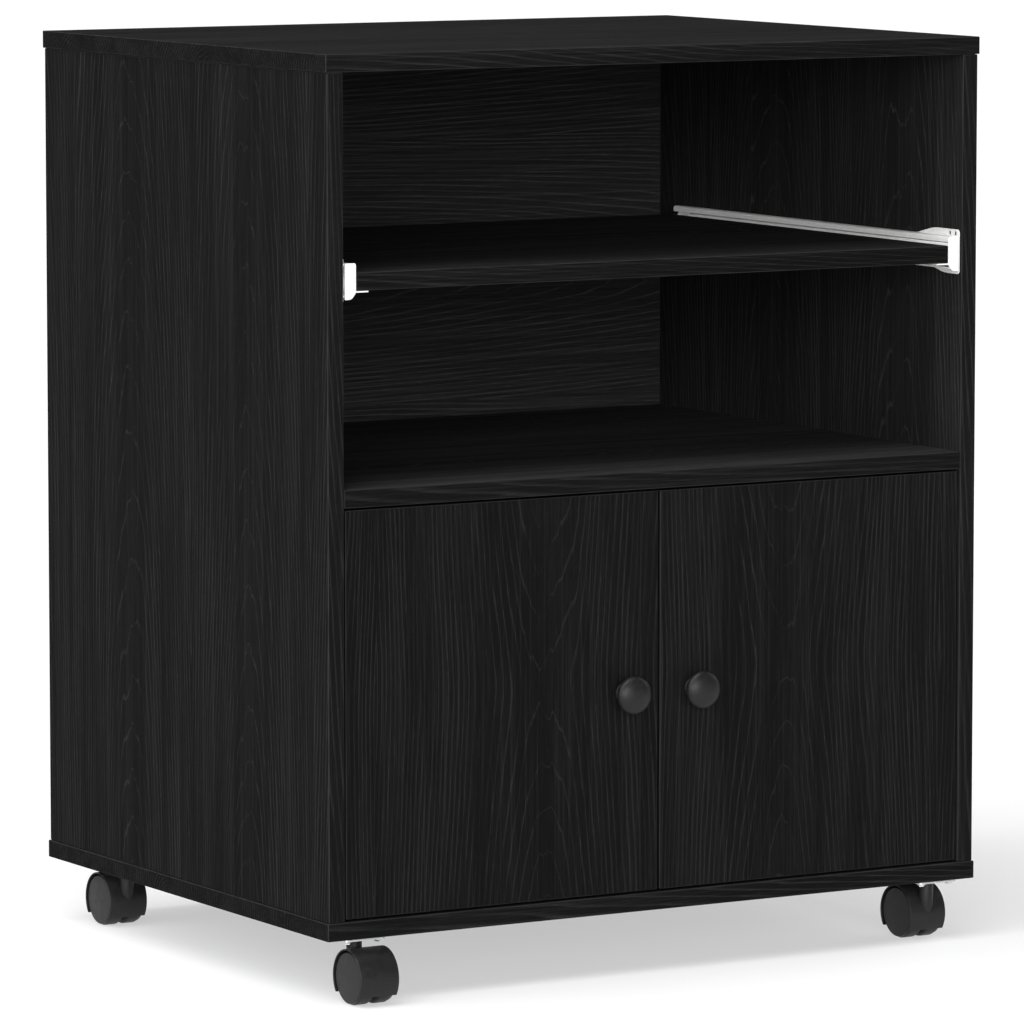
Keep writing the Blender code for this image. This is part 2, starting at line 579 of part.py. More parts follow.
def caster_wheel(name, side, x, y):
    """One wheel with a rounded tread, a slightly domed face and a blind bore, its origin on the axle."""
    inner, outer, shoulder = WHEEL_INNER, WHEEL_INNER + WHEEL_WIDTH, WHEEL_SHOULDER
    profile = [
        (0, outer), (WHEEL_RADIUS - 0.006, outer - 0.0004), (WHEEL_RADIUS - 0.6 * shoulder, outer - 0.0010),
        (WHEEL_RADIUS, outer - shoulder), (WHEEL_RADIUS, inner + shoulder),
        (WHEEL_RADIUS - shoulder, inner), (AXLE_BORE, inner), (AXLE_BORE, BORE_END), (0, BORE_END),
    ]
    profile = [(radius, side * along) for radius, along in profile]
    made = turned_mesh(profile, "X", WHEEL_SIDES, half_step=True)
    return new_object(name, made, "black_plastic", (x, y, AXLE_Z), SMOOTH)


def caster(name, x, y, trail_way):
    axle_y = y + trail_way * TRAIL
    caster_plate(f"{name}_caster_plate", x, y)
    swivel = empty(f"{name}_caster_swivel", (x, y, BOSS_TOP))
    put_under(caster_hood(f"{name}_caster_hood", x, y, trail_way), swivel)
    axle = cylinder_mesh(AXLE_RADIUS, -AXLE_HALF, AXLE_HALF, "X", SMALL_SIDES)
    put_under(new_object(f"{name}_caster_axle", axle, "zinc_steel", (x, axle_y, AXLE_Z), SMOOTH), swivel)
    for wheel_side, side in SIDES.items():
        put_under(caster_wheel(f"{name}_caster_{wheel_side}_wheel", side, x, axle_y), swivel)


def main():
    clear_scene()
    carcass()
    pull_out_shelf()
    for name, side in SIDES.items():
        door(name, side)
        magnetic_catch(f"{name}_magnetic_catch", side)
        x = side * (WIDTH / 2 - SIDE_INSET)
        # The front left caster was last rolled the other way, so it trails forwards.
        caster(f"front_{name}", x, FRONT + FRONT_INSET, -1 if name == "left" else 1)
        caster(f"rear_{name}", x, BACK - REAR_INSET, 1)


main()
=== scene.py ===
"""The looks of a mobile printer stand: black oak foil on every board, and fine meshes for its slides, hinges,
catches, knobs and casters, on a pale studio floor. Lengths are in metres, +Z is up and the front faces -Y."""

import json
from math import cos, pi, radians, sin

import bmesh
import bpy
from mathutils import Matrix, Vector


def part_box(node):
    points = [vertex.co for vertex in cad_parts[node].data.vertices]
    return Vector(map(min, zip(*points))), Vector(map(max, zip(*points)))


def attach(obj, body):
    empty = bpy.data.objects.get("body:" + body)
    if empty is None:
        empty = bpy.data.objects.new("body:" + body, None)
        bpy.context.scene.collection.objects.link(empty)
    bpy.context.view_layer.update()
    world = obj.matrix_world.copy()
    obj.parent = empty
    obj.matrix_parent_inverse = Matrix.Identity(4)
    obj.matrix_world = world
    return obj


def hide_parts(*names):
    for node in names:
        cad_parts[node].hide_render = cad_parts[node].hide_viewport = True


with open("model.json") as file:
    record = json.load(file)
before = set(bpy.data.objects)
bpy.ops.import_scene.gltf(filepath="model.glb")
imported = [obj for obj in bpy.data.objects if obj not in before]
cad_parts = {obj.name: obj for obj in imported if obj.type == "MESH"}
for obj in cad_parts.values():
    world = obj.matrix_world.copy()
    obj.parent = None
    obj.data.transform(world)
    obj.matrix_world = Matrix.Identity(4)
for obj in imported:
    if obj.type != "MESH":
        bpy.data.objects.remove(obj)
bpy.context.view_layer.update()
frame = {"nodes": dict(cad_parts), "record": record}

SIDES = {"left": -1, "right": 1}
CORNERS = ((-1, -1), (1, -1), (1, 1), (-1, 1))
AXES = "XYZ"
STEEL = 0.0012  # thickness of the slides' sheet steel
GAP = 0.0003  # between pieces that touch
SMOOTH = radians(32)  # edges below this angle are smooth
MERGE = 1e-7  # points nearer than this are one
ROLLER_PIN, AXLE_BORE = 0.0024, 0.0028  # radii

RECORD = frame["record"]
BODY_OF = {node: body for body, nodes in RECORD["behaviour"]["bodies"].items() for node in nodes}
SLOT_OF = {part["node"]: part["material_slot"] for part in RECORD["subparts"]}


# Materials


SEED_STEP = (0.371, 0.173, 0.229)  # how far each step of a seed shifts a finish's noise


class Finish:
    """One procedural material. Every length in it is in metres, in the stand's own frame."""

    def __init__(self, name, seed=0.0):
        self.material = bpy.data.materials.new(name)
        self.material.use_nodes = True
        self.tree = self.material.node_tree
        self.shader = self.tree.nodes["Principled BSDF"]
        self.raw_place = self.add("ShaderNodeTexCoord").outputs["Object"]
        self.place = self.vector("ADD", self.raw_place, [seed * step for step in SEED_STEP])

    def add(self, kind, inputs=None, **settings):
        node = self.tree.nodes.new(kind)
        for name, value in settings.items():
            setattr(node, name, value)
        for socket, value in (inputs or {}).items():
            self.feed(node.inputs[socket], value)
        return node

    def feed(self, socket, value):
        if isinstance(value, bpy.types.NodeSocket):
            self.tree.links.new(value, socket)
        else:
            socket.default_value = value

    def math(self, operation, *values):
        return self.add("ShaderNodeMath", dict(enumerate(values)), operation=operation).outputs[0]

    def total(self, *values):
        added = values[0]
        for value in values[1:]:
            added = self.math("ADD", added, value)
        return added

    def times(self, value, factor):
        return self.math("MULTIPLY", value, factor)

    def vector(self, operation, *values):
        return self.add("ShaderNodeVectorMath", dict(enumerate(values)), operation=operation).outputs[0]

    def split(self, vector):
        return self.add("ShaderNodeSeparateXYZ", {0: vector}).outputs

    def noise(self, cell, detail=2.0):
        """Noise with cells of about this size along X, Y and Z, from 0 to 1."""
        inputs = {"Vector": self.vector("DIVIDE", self.place, cell), "Scale": 1.0, "Detail": detail}
        return self.add("ShaderNodeTexNoise", inputs).outputs["Fac"]

    def even_noise(self, size, detail=2.0):
        """Noise with cells as long in every direction."""
        return self.noise((size, size, size), detail)

    def ramp(self, value, low, high, out_low=0.0, out_high=1.0):
        """The value taken smoothly from one range to another."""
        inputs = {0: value, 1: low, 2: high, 3: out_low, 4: out_high}
        return self.add("ShaderNodeMapRange", inputs, interpolation_type="SMOOTHSTEP").outputs[0]

    def mix(self, share, first, second):
        """A colour between two greys or colours."""
        node = self.add("ShaderNodeMix", data_type="RGBA")
        self.feed(node.inputs[0], share)
        for socket, colour in zip((node.inputs[6], node.inputs[7]), (first, second)):
            self.feed(socket, colour if isinstance(colour, bpy.types.NodeSocket) else (*colour, 1.0))
        return node.outputs[2]

    def bump(self, height, distance, strength=1.0):
        node = self.add("ShaderNodeBump", {"Strength": strength, "Distance": distance, "Height": height})
        self.feed(self.shader.inputs["Normal"], node.outputs[0])

    def edge_distance(self, low, high):
        """How far a point on a board's surface is from the board's nearest edge."""
        middle, half = (low + high) / 2, (high - low) / 2
        away = self.vector("ABSOLUTE", self.vector("SUBTRACT", self.raw_place, middle))
        x, y, z = self.split(self.vector("SUBTRACT", half, away))
        smaller, larger = self.math("MINIMUM", x, y), self.math("MAXIMUM", x, y)
        return self.math("MAXIMUM", smaller, self.math("MINIMUM", larger, z))

    def finished(self, colour, roughness, metallic=0.0, specular=0.5):
        self.feed(self.shader.inputs["Base Color"], colour)
        self.feed(self.shader.inputs["Roughness"], roughness)
        self.shader.inputs["Metallic"].default_value = metallic
        self.shader.inputs["Specular IOR Level"].default_value = specular
        return self.material


def grey(level):
    return (level, level, level)


RING_WIDTH = 0.0038  # of a year's growth in the oak
LINE, LINE_ONSET = 0.0017, 0.0004  # how far a ring's light line fades out, and in
WANDER, RIPPLE = 0.0045, 0.0006  # how far the rings drift, over the board and from one centimetre to the next
SADDLE_ROUNDING = 0.020  # half the length of the blunt middle between two facing arches
PAINTED_HIGHLIGHT_REACH = (0.0004, 0.0009)  # the painted edge highlight is full below the first distance from an edge, and gone at the second
# The third colour is a painted highlight: the light line that light catches along the rounded board edges.
DARK, LIGHT, PAINTED_EDGE_HIGHLIGHT = grey(0.0072), grey(0.0260), grey(0.0260)
RINGS, PORES, STREAKS = 0.56, 0.38, 0.26  # how far each takes the foil from DARK to LIGHT
FIBRES, TONES = (-0.07, 0.13), (-0.05, 0.07)  # and the range of those that also darken it
FOIL_RELIEF = 0.00010  # depth of the pores pressed into the foil


def ring_lines(oak, off_heart, log, slope, ripple):
    """The light line at each ring of the log, from 0 to 1. It is as wide on the board wherever a ring crosses
    it, at a steep angle or a shallow one."""
    squared = oak.math("ADD", oak.math("MULTIPLY", off_heart, off_heart), oak.math("MULTIPLY", log, log))
    radius = oak.math("SQRT", squared)
    part_of_ring = oak.math("FRACT", oak.math("DIVIDE", oak.math("ADD", radius, ripple), RING_WIDTH))
    leaning = oak.times(log, slope)
    steepness = oak.math("SQRT", oak.math("ADD", oak.math("MULTIPLY", off_heart, off_heart),
                                          oak.math("MULTIPLY", leaning, leaning)))
    stretch = oak.times(oak.math("DIVIDE", radius, steepness), RING_WIDTH)
    past_line = oak.math("MULTIPLY", part_of_ring, stretch)
    to_line = oak.math("SUBTRACT", stretch, past_line)
    fading = oak.ramp(past_line, 0.0, LINE, 1.0, 0.0)
    return oak.math("MAXIMUM", fading, oak.ramp(to_line, 0.0, LINE_ONSET, 1.0, 0.0))


def black_oak(node, along, heart, apex, slope, period, seed, depth_of_log,
              saddle=False, face=1.0, edge_band_painted_light=1.0):
    """Black oak foil on one board, with its grain along X or Z.

    The rings are those of a log whose axis leans towards the board: where they cross the face they make the
    nested arches of flat-sawn oak round the heart, and straight lines between two hearts. An arch points up,
    or to the right, where the slope is above 0. With a saddle, arches point at each other from both ends.
    The foil's colour is scaled by face on the board's two faces, and by the edge band value on its edge bands:
    painted light, lighter or darker by how the light falls on each."""
    low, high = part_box(node)
    extent = high - low
    depth = min(range(3), key=lambda axis: extent[axis])
    length = AXES.index(along)
    across = 3 - depth - length
    oak = Finish(f"black_oak_{node}", seed)

    def noise(across_size, along_size, detail):
        """Noise with cells of these sizes across and along the grain."""
        size = [across_size] * 3
        size[length] = along_size
        return oak.noise(size, detail)

    wander = oak.ramp(noise(0.07, 0.55, 1.0), 0.2, 0.8, -WANDER, WANDER)
    ripple = oak.ramp(noise(0.009, 0.110, 2.0), 0.2, 0.8, -RIPPLE, RIPPLE)
    coordinates = oak.split(oak.raw_place)
    off_heart = oak.total(coordinates[across], -heart, wander)
    off_heart = oak.math("PINGPONG", off_heart, period / 2)
    from_apex = oak.math("SUBTRACT", coordinates[length], apex)
    if saddle:
        squared = oak.math("ADD", oak.math("MULTIPLY", from_apex, from_apex), SADDLE_ROUNDING ** 2)
        from_apex = oak.times(oak.math("SQRT", squared), -1.0)
    log = oak.total(oak.math("MULTIPLY_ADD", from_apex, slope, depth_of_log), wander, coordinates[depth])
    band = ring_lines(oak, off_heart, log, slope, ripple)
    band = oak.math("MULTIPLY", band, oak.ramp(noise(0.012, 0.22, 1.0), 0.30, 0.66, 0.25, 1.0))

    pores = oak.ramp(noise(0.0006, 0.013, 1.0), 0.56, 0.66)
    pores = oak.math("MULTIPLY", pores, oak.ramp(band, 0.0, 0.7, 0.30, 1.0))
    streaks = oak.ramp(noise(0.0017, 0.300, 2.0), 0.50, 0.68)
    tone = noise(0.024, 0.400, 2.0)
    fibre = noise(0.0008, 0.050, 3.0)
    # Painted highlight along every board edge, broken up by noise.
    edge_highlight = oak.math("MULTIPLY", oak.ramp(oak.edge_distance(low, high), *PAINTED_HIGHLIGHT_REACH, 1.0, 0.0),
                    oak.ramp(noise(0.012, 0.035, 3.0), 0.35, 0.65, 0.55, 1.0))

    light = oak.total(oak.times(band, RINGS), oak.times(pores, PORES), oak.times(streaks, STREAKS),
                      oak.ramp(fibre, 0.3, 0.7, *FIBRES), oak.ramp(tone, 0.3, 0.7, *TONES))
    turned_to = oak.split(oak.add("ShaderNodeTexCoord").outputs["Normal"])[depth]
    # Painted light and shade: the board's faces and edge bands are made lighter or darker by how the light
    # falls on them.
    painted_light = oak.ramp(oak.math("ABSOLUTE", turned_to), 0.8, 0.9, edge_band_painted_light, face)
    colour = oak.vector("SCALE", oak.mix(light, DARK, LIGHT), (0, 0, 0), (0, 0, 0), painted_light)
    colour = oak.mix(edge_highlight, colour, PAINTED_EDGE_HIGHLIGHT)
    height = oak.total(oak.times(pores, -1.0), oak.times(band, -0.35), oak.times(fibre, 0.25))
    oak.bump(height, FOIL_RELIEF, 0.6)
    rough = oak.math("ADD", oak.ramp(light, 0.0, 1.0, 0.54, 0.66), oak.ramp(fibre, 0.3, 0.7, -0.03, 0.03))
    return oak.finished(colour, rough, specular=0.0)


def moulded(name, low, high, roughness, grain, depth, seed, specular=0.5):
    """Moulded plastic or powder coat: a fine even grain, faint flow marks and cloudy patches."""
    plastic = Finish(name, seed)
    pits = plastic.even_noise(grain)
    clouds = plastic.even_noise(0.006, 3.0)
    flow = plastic.noise((0.0016, 0.0016, 0.012))
    cloudy, streaky = plastic.ramp(clouds, 0.3, 0.7, 0.0, 0.6), plastic.ramp(flow, 0.3, 0.7, 0.0, 0.4)
    share = plastic.math("ADD", cloudy, streaky)
    plastic.bump(plastic.math("ADD", pits, plastic.times(clouds, 0.4)), depth)
    rough = plastic.ramp(clouds, 0.25, 0.75, roughness - 0.05, roughness + 0.06)
    return plastic.finished(plastic.mix(share, low, high), rough, specular=specular)


def plated(name, low, high, roughness, seed):
    """Plated steel, with the faint brush lines and patches of the sheet under it."""
    metal = Finish(name, seed)
    brush = metal.noise((0.00025, 0.00025, 0.006))
    patches = metal.even_noise(0.004, 3.0)
    share = metal.math("ADD", metal.ramp(patches, 0.3, 0.7, 0.0, 0.7), metal.ramp(brush, 0.3, 0.7, 0.0, 0.3))
    metal.bump(brush, 0.00001)
    rough = metal.ramp(patches, 0.3, 0.7, roughness - 0.06, roughness + 0.10)
    return metal.finished(metal.mix(share, low, high), rough, metallic=1.0)


FINISHES = {
    "white_steel": moulded("white_powder_coat", grey(0.74), (0.82, 0.82, 0.80),
                           roughness=0.36, grain=0.0007, depth=0.00002, seed=1.0),
    "white_nylon": moulded("white_nylon", (0.70, 0.70, 0.68), (0.78, 0.78, 0.75),
                           roughness=0.45, grain=0.0003, depth=0.00001, seed=2.0),
    "nickel_steel": plated("nickel_plate", (0.50, 0.49, 0.47), (0.66, 0.65, 0.62), roughness=0.26, seed=3.0),
    "zinc_steel": plated("zinc_plate", (0.50, 0.51, 0.53), (0.70, 0.71, 0.73), roughness=0.34, seed=4.0),
    "caster_plastic": moulded("caster_plastic", grey(0.0078), grey(0.0116),
                              roughness=0.44, grain=0.0004, depth=0.00002, seed=5.0, specular=0.25),
    "knob_plastic": moulded("knob_plastic", grey(0.0066), grey(0.0096),
                            roughness=0.42, grain=0.0005, depth=0.00002, seed=6.0, specular=0.26),
    "catch_plastic": moulded("catch_plastic", grey(0.05), grey(0.07),
                             roughness=0.50, grain=0.0004, depth=0.00002, seed=7.0),
}


def finish_boards():
    """Grain for each board: its direction, its heart and where its arches point, and the painted light on its
    faces and edge bands.
    """
    # face and the edge band values are painted light and shade: above 1 lightens the lying boards and the
    # faces inside the bays, below 1 darkens the doors and the lying boards' edge bands.
    doors = {"along": "Z", "apex": 0.255, "slope": 0.08, "period": 0.32, "saddle": True,
             "depth_of_log": 0.315, "face": 0.86}
    sides = {"along": "Z", "apex": 0.45, "slope": 0.08, "period": 0.21}
    lying = {"along": "X", "apex": 0.10, "slope": 0.08, "period": 0.24, "face": 1.75, "edge_band_painted_light": 0.85}
    boards = {
        "left_door": {**doors, "heart": -0.111, "seed": 1.0},
        "right_door": {**doors, "heart": 0.124, "seed": 2.0},
        "left_side_panel": {**sides, "heart": 0.105, "seed": 3.0, "depth_of_log": 0.385, "face": 1.0},
        "right_side_panel": {**sides, "heart": 0.060, "seed": 4.0, "depth_of_log": -0.245, "face": 1.75},
        "back_panel": {**lying, "heart": 0.56, "seed": 5.0, "depth_of_log": -0.19, "face": 2.0},
        "top_panel": {**lying, "heart": -0.05, "seed": 6.0, "depth_of_log": -0.71, "face": 1.6},
        "bottom_panel": {**lying, "heart": 0.04, "seed": 7.0, "depth_of_log": -0.02},
        "fixed_shelf": {**lying, "heart": -0.09, "seed": 8.0, "depth_of_log": -0.36, "face": 3.2},
        "pull_out_shelf": {**lying, "heart": 0.02, "seed": 9.0, "depth_of_log": -0.55,
                           "face": 2.3, "edge_band_painted_light": 0.74},
    }
    for node, grain in boards.items():
        frame["nodes"][node].material_slots[0].material = black_oak(node, **grain)


# Meshes


def arc(centre, radius, start, end, steps=6):
    """Points along an arc, in degrees from the first coordinate's axis. A radius may be a pair."""
    first, second = radius if isinstance(radius, tuple) else (radius, radius)
    angles = [radians(start + (end - start) * step / steps) for step in range(steps + 1)]
    return [(centre[0] + first * cos(angle), centre[1] + second * sin(angle)) for angle in angles]


def turned(profile, axis, centre, sides=64):
    """A closed profile of (radius, distance along the axis) points, turned about X, Y or Z. A side of the
    profile that lies on the axis makes no face."""
    bm = bmesh.new()
    corners = [bm.verts.new((radius, 0, along)) for radius, along in profile]
    for start, end in zip(corners, corners[1:] + corners[:1]):
        if start.co.x > 0 or end.co.x > 0:
            bm.edges.new((start, end))
    lathe = {"cent": (0, 0, 0), "axis": (0, 0, 1), "angle": 2 * pi, "steps": sides}
    bmesh.ops.spin(bm, geom=bm.verts[:] + bm.edges[:], **lathe)
    bmesh.ops.remove_doubles(bm, verts=bm.verts, dist=MERGE)
    turns = {"X": Matrix.Rotation(pi / 2, 4, "Y"), "Y": Matrix.Rotation(-pi / 2, 4, "X"), "Z": Matrix()}
    bm.transform(Matrix.Translation(centre) @ turns[axis])
    return bm


def extruded(outline, axis, low, high, soft=0.0, segments=2):
    """An outline extruded along X, Y or Z, with its edges at both ends softened. Its points are the two other
    coordinates, in that order."""
    place = AXES.index(axis)
    bm = bmesh.new()
    corners = [bm.verts.new((*point[:place], low, *point[place:])) for point in outline]
    made = bmesh.ops.extrude_face_region(bm, geom=[bm.faces.new(corners)])
    moved = [piece for piece in made["geom"] if isinstance(piece, bmesh.types.BMVert)]
    step = Vector((0, 0, 0))
    step[place] = high - low
    bmesh.ops.translate(bm, verts=moved, vec=step)
    if soft:
        rims = [edge for edge in bm.edges if edge.verts[0].co[place] == edge.verts[1].co[place]]
        bmesh.ops.bevel(bm, geom=rims, offset=soft, segments=segments, affect="EDGES", clamp_overlap=True)
    return bm


def rod(radius, start, end, axis, centre, sides):
    """A round bar between two distances along its axis."""
    return turned([(0, start), (radius, start), (radius, end), (0, end)], axis, centre, sides)


def block(low, high, soft):
    """A box between two corners, with every edge softened."""
    bm = bmesh.new()
    low, high = Vector(low), Vector(high)
    place = Matrix.Translation((low + high) / 2) @ Matrix.Diagonal((*(high - low), 1))
    bmesh.ops.create_cube(bm, size=1, matrix=place)
    bmesh.ops.bevel(bm, geom=bm.edges[:], offset=soft, segments=3, affect="EDGES")
    return bm


def rounded(outline, radius, steps=5):
    """An outline with its corners rounded. The radius is one for all corners, or one for each."""
    radii = radius if isinstance(radius, (list, tuple)) else [radius] * len(outline)
    points = []
    for index, corner in enumerate(outline):
        here = Vector(corner)
        before, after = Vector(outline[index - 1]) - here, Vector(outline[(index + 1) % len(outline)]) - here
        if radii[index] == 0:
            points.append(tuple(here))
            continue
        reach = min(radii[index], 0.49 * before.length, 0.49 * after.length)
        start, end = here + before.normalized() * reach, here + after.normalized() * reach
        for step in range(steps + 1):
            t = step / steps
            points.append(tuple((1 - t) ** 2 * start + 2 * t * (1 - t) * here + t ** 2 * end))
    return points


def rounded_path(path, radius, steps=4):
    """An open path with its inner corners rounded."""
    points = [path[0]]
    for corner in zip(path, path[1:], path[2:]):
        points += rounded(corner, [0, radius, 0], steps)[1:-1]
    return points + [path[-1]]


def sheet(path, thickness, bend):
    """The outline of bent sheet steel: a path along its middle, with rounded bends."""
    line = [Vector(point) for point in rounded_path(path, bend)]
    left, right = [], []
    for index, point in enumerate(line):
        before, after = line[max(index - 1, 0)], line[min(index + 1, len(line) - 1)]
        way = (after - before).normalized()
        normal = Vector((-way.y, way.x)) * thickness / 2
        left.append(tuple(point + normal))
        right.append(tuple(point - normal))
    return left + right[::-1]


def gathered(*parts):
    """One bmesh from several."""
    whole = bmesh.new()
    for part in parts:
        mesh = bpy.data.meshes.new("part")
        part.to_mesh(mesh)
        part.free()
        whole.from_mesh(mesh)
        bpy.data.meshes.remove(mesh)
    return whole


def loose(bm):
    bmesh.ops.recalc_face_normals(bm, faces=bm.faces)
    mesh = bpy.data.meshes.new("loose")
    bm.to_mesh(mesh)
    bm.free()
    made = bpy.data.objects.new("loose", mesh)
    bpy.context.scene.collection.objects.link(made)
    return made


def carved(bm, *tools):
    """A bmesh with the tools' volumes taken out of it."""
    kept = loose(bm)
    cutters = [loose(tool) for tool in tools]
    for cutter in cutters:
        modifier = kept.modifiers.new("cut", "BOOLEAN")
        modifier.operation = "DIFFERENCE"
        modifier.solver = "EXACT"
        modifier.object = cutter
    bpy.context.view_layer.update()
    shown = kept.evaluated_get(bpy.context.evaluated_depsgraph_get())
    result = bmesh.new()
    result.from_mesh(shown.to_mesh())
    shown.to_mesh_clear()
    for old in (kept, *cutters):
        mesh = old.data
        bpy.data.objects.remove(old)
        bpy.data.meshes.remove(mesh)
    return result


def piece(name, bm, body, slot, replaced=()):
    """A fine piece that rides on a body, in one of the record's finishes, and stands for these CAD nodes."""
    bmesh.ops.recalc_face_normals(bm, faces=bm.faces)
    mesh = bpy.data.meshes.new(name)
    bm.to_mesh(mesh)
    bm.free()
    mesh.shade_smooth()
    mesh.set_sharp_from_angle(angle=SMOOTH)
    mesh.materials.append(FINISHES[slot])
    made = bpy.data.objects.new(name, mesh)
    bpy.context.scene.collection.objects.link(made)
    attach(made, body)
    if replaced:
        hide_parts(*replaced)
    return made


def in_place_of(node, bm):
    """A fine piece for one CAD node, with that node's body and finish."""
    return piece(f"fine_{node}", bm, BODY_OF[node], SLOT_OF[node], (node,))


def middle(node):
    low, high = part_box(node)
    return (low + high) / 2


def cross_head(height):
    """A pan head of radius 1 with a cross recess, standing on the origin along +Z."""
    rim = 0.35 * height
    dome = [(0, -GAP), (1, -GAP), *arc((0.72, rim), (0.28, 0.55 * height), 0, 80, 4), (0, height)]
    recess_floor, arm, half_width = 0.4 * height, 0.52, 0.11
    bars = [block((-x, -y, recess_floor), (x, y, 1.5 * height), 0.3 * half_width)
            for x, y in ((arm, half_width), (half_width, arm))]
    return carved(turned(dome, "Z", (0, 0, 0), 28), *bars)


HEAD_HEIGHT = 0.6  # of a head with a radius of 1
HEAD = cross_head(HEAD_HEIGHT)


def screw(place, facing, radius, height, spin=0.0):
    """A pan head like HEAD at a place, facing along a direction, turned by some degrees."""
    head = HEAD.copy()
    turn = Vector((0, 0, 1)).rotation_difference(Vector(facing)).to_matrix().to_4x4()
    size = Matrix.Diagonal((radius, radius, height / HEAD_HEIGHT, 1))
    head.transform(Matrix.Translation(place) @ turn @ Matrix.Rotation(radians(spin), 4, "Z") @ size)
    return head


# Doors


def knob(node):
    """A mushroom knob: a flat foot, a narrow neck and a domed head."""
    low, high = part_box(node)
    centre = middle(node)
    proud = 0.0006  # how far the head passes its solid's radius
    head = (high.x - low.x) / 2 + proud
    foot, neck, length = 0.0092, 0.0064, high.y - low.y
    profile = [(0, 0), (foot, 0), *arc((foot - 0.0009, 0.0016), 0.0009, 0, 90, 5)]
    profile += arc((neck + 0.0020, 0.0045), (0.0020, 0.0020), 270, 180, 6)
    profile += arc((neck + 0.0068, 0.0084), (0.0068, 0.0058), 180, 96, 8)
    profile += arc((head - 0.0009, 0.0154), 0.0009, -80, 0, 4)
    profile += arc((0, 0.0161), (head, length - 0.0161), 0, 90, 16)
    profile[-1] = (0, length)
    outwards = [(radius, -along) for radius, along in profile]
    return in_place_of(node, turned(outwards, "Y", (centre.x, high.y, centre.z), 72))


def knob_screw(node):
    """The screw that holds a knob, with its head on the door's inner face."""
    centre, back = middle(node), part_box(node)[1].y
    shank = rod(0.0019, -0.020, 0, "Y", (centre.x, back - 0.002, centre.z), 20)
    head = screw((centre.x, back - 0.0022, centre.z), (0, 1, 0), 0.0040, 0.0022, 20)
    return in_place_of(node, gathered(shank, head))


def hinge_cup(node):
    """A pressed cup let into the door's back, with a flange that two screws hold above and below it."""
    low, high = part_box(node)
    centre = middle(node)
    radius, seat = 0.0175, high.y - 0.0024
    face = seat + 0.0012  # the flange's
    cup = [(0, low.y), *arc((radius - 0.0015, low.y + 0.0015), 0.0015, -90, 0, 5), (radius, face + 0.0002)]
    cup += arc((radius - 0.0005, face + 0.0002), 0.0004, 0, 180, 6)
    cup += [(radius - 0.0012, face - 0.001), *arc((radius - 0.0024, low.y + 0.0024), 0.0012, 0, -90, 5)]
    cup += [(0, low.y + 0.0012)]
    half_wing = [(0.010, 0.0165), (0.010, 0.0215), (0.0065, 0.031)]
    wing = [(-x, z) for x, z in half_wing] + half_wing[::-1]
    parts = [turned(cup, "Y", (centre.x, 0, centre.z), 64)]
    for end in (-1, 1):
        points = [(centre.x + x, centre.z + end * z) for x, z in wing]
        outline = rounded(points, [0, 0.004, 0.003, 0.003, 0.004, 0])
        parts.append(extruded(outline, "Y", seat, face, 0.0003))
        parts.append(screw((centre.x, face, centre.z + end * 0.025), (0, 1, 0), 0.0035, 0.0012, 15 * end))
    return in_place_of(node, gathered(*parts))


def hinge_arm(node, side):
    """A cranked arm on a winged mounting plate, with its fixing and adjusting screws."""
    low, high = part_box(node)
    centre = middle(node)
    wall = high.x if side > 0 else low.x  # where the mounting plate meets the side panel
    door, front = wall - side * 0.0020, low.y - 0.0115  # where the arm's points are measured from
    half = 0.0058  # of the arm's height
    arm = [(0.0030, 0.0285), (0.0030, 0.066), (0.0078, 0.066), (0.0105, 0.045), (0.0128, 0.040),
           (0.0285, 0.0275), (0.0285, 0.0120), (0.0165, 0.0120), (0.0165, 0.0195)]
    arm = [(door - side * inward, front + back) for inward, back in arm]
    wing = [(0.030, -0.006), (0.036, -0.017), (0.052, -0.017), (0.058, -0.006),
            (0.058, 0.006), (0.052, 0.017), (0.036, 0.017), (0.030, 0.006)]
    wing = [(front + back, centre.z + up) for back, up in wing]
    plate_face, arm_face = wall - side * 0.0046, door - side * 0.0076
    near, far = sorted((wall - side * GAP / 2, plate_face))
    parts = [
        extruded(rounded(arm, 0.0035), "Z", centre.z - half, centre.z + half, 0.0012, 3),
        extruded(rounded(wing, 0.004), "X", near, far, 0.0005),
    ]
    for end in (-1, 1):
        place = (plate_face, front + 0.044, centre.z + end * 0.0122)
        parts.append(screw(place, (-side, 0, 0), 0.0034, 0.0011, 30 * end))
    parts.append(screw((arm_face, front + 0.058, centre.z), (-side, 0, 0), 0.0034, 0.0014, 10))
    return in_place_of(node, gathered(*parts))


def strike_plate(node):
    """A thin plate with rounded corners, on the door's inner face."""
    low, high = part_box(node)
    outline = rounded([(low.x, low.z), (high.x, low.z), (high.x, high.z), (low.x, high.z)], 0.0022)
    plate = extruded(outline, "Y", low.y, high.y - 0.0001, 0.0002)
    return in_place_of(node, plate)


def magnetic_catch(node):
    """A moulded housing with a screw ear at each end, and two steel pole plates in its mouth."""
    low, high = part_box(node)
    centre = middle(node)
    body_front = low.y + 0.001
    parts = [block((low.x + 0.006, body_front, low.z), (high.x - 0.006, high.y, high.z), 0.0010)]
    for end in (-1, 1):
        edge = centre.x + end * (high.x - low.x) / 2
        x0, x1 = sorted((edge, edge - end * 0.0075))
        parts.append(block((x0, body_front + 0.003, high.z - 0.0030), (x1, high.y - 0.002, high.z), 0.0008))
        place = (edge - end * 0.0030, centre.y + 0.001, high.z - 0.0030)
        parts.append(screw(place, (0, 0, -1), 0.0024, 0.0010, 40))
    half, thickness = 0.0145, 0.0016  # of a pole plate
    poles = []
    for top in (high.z - 0.0032, high.z - 0.0075):
        corners = (centre.x - half, low.y, top - thickness), (centre.x + half, high.y - 0.004, top)
        poles.append(block(*corners, 0.0003))
    in_place_of(node, gathered(*parts))
    return piece(f"fine_{node}_poles", gathered(*poles), BODY_OF[node], "nickel_steel")


